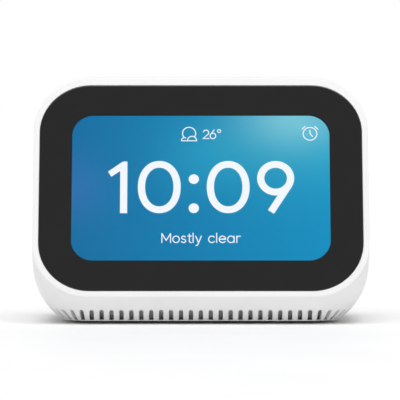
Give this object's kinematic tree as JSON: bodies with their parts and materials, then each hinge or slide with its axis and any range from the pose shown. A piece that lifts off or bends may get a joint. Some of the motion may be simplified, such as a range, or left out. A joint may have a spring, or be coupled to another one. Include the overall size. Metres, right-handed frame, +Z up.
{
  "type": "smart speaker",
  "caption": "Bedside smart speaker with a tilted glass touch display, white rounded housing, vent slots round the foot, volume buttons, mute slider and a down-firing driver.",
  "frame": {"origin": "middle of the bounding box on the foot's underside", "axes": "+Z up, the display faces -Y, +X to the right as the display is read"},
  "size_m": [0.1124, 0.0683, 0.082],
  "materials": {
    "white_plastic": "fine satin moulded white",
    "cover_glass": "gloss black-bordered cover glass",
    "black_adhesive": "matt foam tape",
    "touch_sensor": "clear laminated film",
    "screen": "lit colour display",
    "backlight_tray": "pressed tray",
    "black_plastic": "fine spark texture",
    "steel": "zinc plated",
    "flex_film": "amber polyimide",
    "circuit_board": "green solder mask",
    "chip_package": "moulded epoxy",
    "aluminium": "brushed",
    "ivory_plastic": "moulded nylon",
    "gold_plate": "gold plated can",
    "black_rubber": "matt",
    "cable_jacket": "extruded jacket",
    "capacitor_sleeve": "shrink sleeve",
    "ferrite": "ground ferrite",
    "copper": "enamelled copper wire",
    "cone_paper": "pressed pulp",
    "spider_cloth": "resin-dipped woven cloth",
    "base_plastic": "satin moulded",
    "foot_rubber": "matt silicone",
    "grille_cloth": "fine woven polyester"
  },
  "bodies": {
    "case": {"housing": "white_plastic", "cover_glass": "cover_glass", "display_adhesive": "black_adhesive", "touch_film": "touch_sensor", "display_panel": "screen", "backlight_unit": "backlight_tray", "display_carrier": "black_plastic", "carrier_screws": "steel", "light_sensor": "black_plastic", "display_ribbon": "flex_film", "touch_ribbon": "flex_film", "main_board": "circuit_board", "board_screws": "steel", "processor_shield": "steel", "processor": "chip_package", "memory_chip": "chip_package", "amplifier_chip": "chip_package", "radio_shield": "steel", "heat_spreader": "aluminium", "board_connectors": "ivory_plastic", "wifi_antenna": "circuit_board", "antenna_cable": "cable_jacket", "button_board": "circuit_board", "button_board_screws": "steel", "button_switches": "chip_package", "microphones": "gold_plate", "microphone_gaskets": "black_rubber", "button_ribbon": "flex_film", "mute_switch": "steel", "mute_board": "circuit_board", "mute_board_screws": "steel", "power_jack": "black_plastic", "jack_pin": "steel", "power_board": "circuit_board", "power_board_screws": "steel", "filter_capacitors": "capacitor_sleeve", "power_inductor": "chip_package", "power_wires": "cable_jacket", "speaker_chamber": "black_plastic", "speaker_gasket": "black_rubber", "speaker_basket": "black_plastic", "speaker_top_plate": "steel", "speaker_magnet": "ferrite", "speaker_yoke": "steel", "speaker_surround": "black_rubber", "speaker_spider": "spider_cloth", "speaker_wires": "cable_jacket", "base_cover": "base_plastic", "base_screws": "steel", "chamber_screws": "steel", "rubber_foot": "foot_rubber", "dust_cloth": "grille_cloth"},
    "volume_up": {"volume_up_button": "white_plastic", "volume_up_plunger": "ivory_plastic"},
    "volume_down": {"volume_down_button": "white_plastic", "volume_down_plunger": "ivory_plastic"},
    "mute_slider": {"mute_knob": "white_plastic"},
    "cone": {"speaker_cone": "cone_paper", "speaker_dust_cap": "cone_paper", "voice_coil": "copper"}
  },
  "joints": [
    {"name": "volume_up_press", "type": "slide", "parent": "case", "child": "volume_up", "axis": [0, 0, -1], "range_m": [0, 0.0005], "stiffness_N_per_m": 1500, "springref_m": -0.0002},
    {"name": "volume_down_press", "type": "slide", "parent": "case", "child": "volume_down", "axis": [0, 0, -1], "range_m": [0, 0.0005], "stiffness_N_per_m": 1500, "springref_m": -0.0002},
    {"name": "mute_slide", "type": "slide", "parent": "case", "child": "mute_slider", "axis": [1, 0, 0], "range_m": [0, 0.003]},
    {"name": "cone_stroke", "type": "slide", "parent": "case", "child": "cone", "axis": [0, 0, 1], "range_m": [-0.0008, 0.0008], "stiffness_N_per_m": 900, "deforming": ["speaker_surround", "speaker_spider"]}
  ]
}
